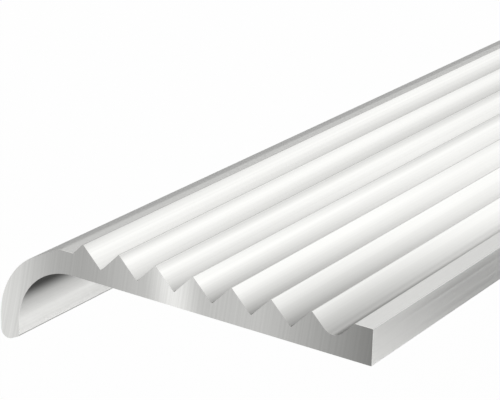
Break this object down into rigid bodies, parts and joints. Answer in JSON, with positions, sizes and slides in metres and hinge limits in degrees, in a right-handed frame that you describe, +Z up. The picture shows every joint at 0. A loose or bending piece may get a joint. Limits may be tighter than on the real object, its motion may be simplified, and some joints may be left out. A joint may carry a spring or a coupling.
{
  "type": "stair nosing strip",
  "caption": "Straight ribbed metal stair nosing: a grooved plate that lies on the tread, with a rounded nose and lip that hook over the tread's front edge.",
  "frame": {"origin": "middle of the flat underside that lies on the tread, halfway along the strip", "axes": "+X along the strip, -Y towards the front of the step where the nose is, +Z up and away from the tread"},
  "size_m": [1, 0.0379, 0.011],
  "materials": {
    "strip": "satin mill finish with faint lines along the strip, sawn ends"
  },
  "bodies": {
    "root": {"nosing_strip": "strip"}
  },
  "joints": []
}
